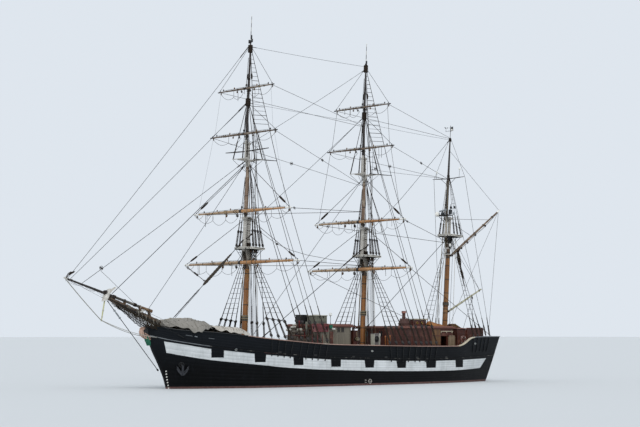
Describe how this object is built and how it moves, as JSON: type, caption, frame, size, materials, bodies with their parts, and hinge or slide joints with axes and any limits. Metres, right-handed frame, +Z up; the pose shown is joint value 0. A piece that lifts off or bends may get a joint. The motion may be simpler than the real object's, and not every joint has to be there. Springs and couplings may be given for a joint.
{
  "type": "three-masted barque, 1:10 scale model",
  "caption": "Three-masted barque with a black hull, a white band of painted ports, bare square yards, deckhouses and a canvas-covered forecastle.",
  "frame": {"origin": "amidships on the centreline at the waterline", "axes": "+X towards the bow, +Y to port, +Z up"},
  "size_m": [4.892, 1.468, 3.4635],
  "materials": {
    "hull_paint": "black gloss paint over planking, a white painted band",
    "deck_wood": "scrubbed pine planks",
    "spar_varnish": "ochre varnished spruce",
    "spar_brown": "brown stained pine",
    "spar_dark": "dark stained pine",
    "white_paint": "white satin paint",
    "house_cream": "cream painted boards",
    "house_varnish": "red-brown varnished boards",
    "steel": "dark galvanised and painted iron",
    "bronze": "cast bronze",
    "wire": "tarred wire rope",
    "canvas": "weathered off-white sailcloth",
    "carved": "painted carved wood"
  },
  "bodies": {
    "ship": {"aft_deckhouse": "house_varnish", "aft_deckhouse_roof": "house_varnish", "anchor_port": "steel", "anchor_starboard": "steel", "bobstay": "wire", "bowsprit": "spar_brown", "bulwark_port": "hull_paint", "bulwark_starboard": "hull_paint", "companion": "house_varnish", "dolphin_striker": "spar_varnish", "figurehead": "carved", "fore_crosstrees": "white_paint", "fore_deckhouse": "house_cream", "fore_deckhouse_roof": "house_cream", "fore_lower_mast": "spar_varnish", "fore_stay": "wire", "fore_top": "white_paint", "fore_topgallant_mast": "spar_dark", "fore_topmast": "spar_brown", "fore_topmast_stay": "wire", "forecastle_deck": "deck_wood", "foredeck_canvas": "canvas", "galley_funnel": "steel", "head_knee": "hull_paint", "hull": "hull_paint", "jib_boom": "spar_dark", "keel": "hull_paint", "main_crosstrees": "white_paint", "main_lower_mast": "spar_varnish", "main_stay": "wire", "main_top": "white_paint", "main_topgallant_mast": "spar_dark", "main_topmast": "spar_brown", "main_topmast_stay": "wire", "mizzen_lower_mast": "spar_varnish", "mizzen_stay": "wire", "mizzen_top": "white_paint", "mizzen_topmast": "spar_dark", "poop_deck": "deck_wood", "propeller_shaft_port": "steel", "propeller_shaft_starboard": "steel", "roof_locker": "house_cream", "stern_bulwark": "hull_paint", "wheel_stand": "house_varnish"},
    "rudder": {"rudder": "hull_paint"},
    "helm": {"steering_wheel": "house_varnish"},
    "screw_port": {"propeller_port": "bronze"},
    "screw_starboard": {"propeller_starboard": "bronze"},
    "gaff": {"spanker_gaff": "spar_dark"},
    "boom": {"spanker_boom": "spar_varnish"},
    "fore_house_door": {"fore_deckhouse_door": "house_cream"},
    "aft_house_door": {"aft_deckhouse_door": "house_cream"},
    "fore_course": {"fore_course_yard": "spar_varnish"},
    "fore_topsail": {"fore_topsail_yard": "spar_varnish"},
    "fore_topgallant": {"fore_topgallant_yard": "spar_brown"},
    "fore_royal": {"fore_royal_yard": "spar_brown"},
    "main_course": {"main_course_yard": "spar_varnish"},
    "main_topsail": {"main_topsail_yard": "spar_varnish"},
    "main_topgallant": {"main_topgallant_yard": "spar_brown"},
    "main_royal": {"main_royal_yard": "spar_brown"}
  },
  "joints": [
    {"name": "rudder_turn", "type": "hinge", "parent": "ship", "child": "rudder", "pos_m": [-1.636, 0, -0.24], "axis": [0, 0, 1], "range_deg": [-35, 35]},
    {"name": "helm_turn", "type": "hinge", "parent": "ship", "child": "helm", "pos_m": [-1.605, 0, 0.407], "axis": [1, 0, 0], "range_deg": [-350, 350]},
    {"name": "screw_port_turn", "type": "hinge", "parent": "ship", "child": "screw_port", "pos_m": [-1.495, 0.125, -0.245], "axis": [1, 0, 0], "continuous": true},
    {"name": "screw_starboard_turn", "type": "hinge", "parent": "ship", "child": "screw_starboard", "pos_m": [-1.495, -0.125, -0.245], "axis": [1, 0, 0], "continuous": true},
    {"name": "fore_course_brace", "type": "hinge", "parent": "ship", "child": "fore_course", "pos_m": [0.92933, 0, 1.007], "axis": [-0.0519, 0, 0.9987], "range_deg": [-28, 28]},
    {"name": "fore_topsail_brace", "type": "hinge", "parent": "ship", "child": "fore_topsail", "pos_m": [0.94733, 0, 1.43108], "axis": [-0.0519, 0, 0.9987], "range_deg": [-28, 28]},
    {"name": "fore_topgallant_brace", "type": "hinge", "parent": "ship", "child": "fore_topgallant", "pos_m": [0.94017, 0, 2.06943], "axis": [-0.0519, 0, 0.9987], "range_deg": [-28, 28]},
    {"name": "fore_royal_brace", "type": "hinge", "parent": "ship", "child": "fore_royal", "pos_m": [0.92041, 0, 2.44943], "axis": [-0.0519, 0, 0.9987], "range_deg": [-28, 28]},
    {"name": "main_course_brace", "type": "hinge", "parent": "ship", "child": "main_course", "pos_m": [-0.40356, 0, 0.985], "axis": [-0.0479, 0, 0.9988], "range_deg": [-28, 28]},
    {"name": "main_topsail_brace", "type": "hinge", "parent": "ship", "child": "main_topsail", "pos_m": [-0.38343, 0, 1.39992], "axis": [-0.0479, 0, 0.9988], "range_deg": [-28, 28]},
    {"name": "main_topgallant_brace", "type": "hinge", "parent": "ship", "child": "main_topgallant", "pos_m": [-0.38818, 0, 2.04116], "axis": [-0.0479, 0, 0.9988], "range_deg": [-28, 28]},
    {"name": "main_royal_brace", "type": "hinge", "parent": "ship", "child": "main_royal", "pos_m": [-0.40584, 0, 2.40916], "axis": [-0.0479, 0, 0.9988], "range_deg": [-28, 28]},
    {"name": "gaff_swing", "type": "hinge", "parent": "ship", "child": "gaff", "pos_m": [-1.45884, 0, 1.145], "axis": [-0.0748, 0, 0.9972], "range_deg": [-35, 35]},
    {"name": "boom_swing", "type": "hinge", "parent": "ship", "child": "boom", "pos_m": [-1.42059, 0, 0.635], "axis": [-0.0748, 0, 0.9972], "range_deg": [-40, 40]},
    {"name": "fore_door_swing", "type": "hinge", "parent": "ship", "child": "fore_house_door", "pos_m": [-0.0485, 0.047, 0.34], "axis": [0, 0, 1], "range_deg": [-110, 0]},
    {"name": "aft_door_swing", "type": "hinge", "parent": "ship", "child": "aft_house_door", "pos_m": [-1.25, 0.1985, 0.32], "axis": [0, 0, 1], "range_deg": [-178, 0]}
  ],
  "couplings": [
    {"joint": "helm_turn", "follows": "rudder_turn", "ratio": 10}
  ]
}
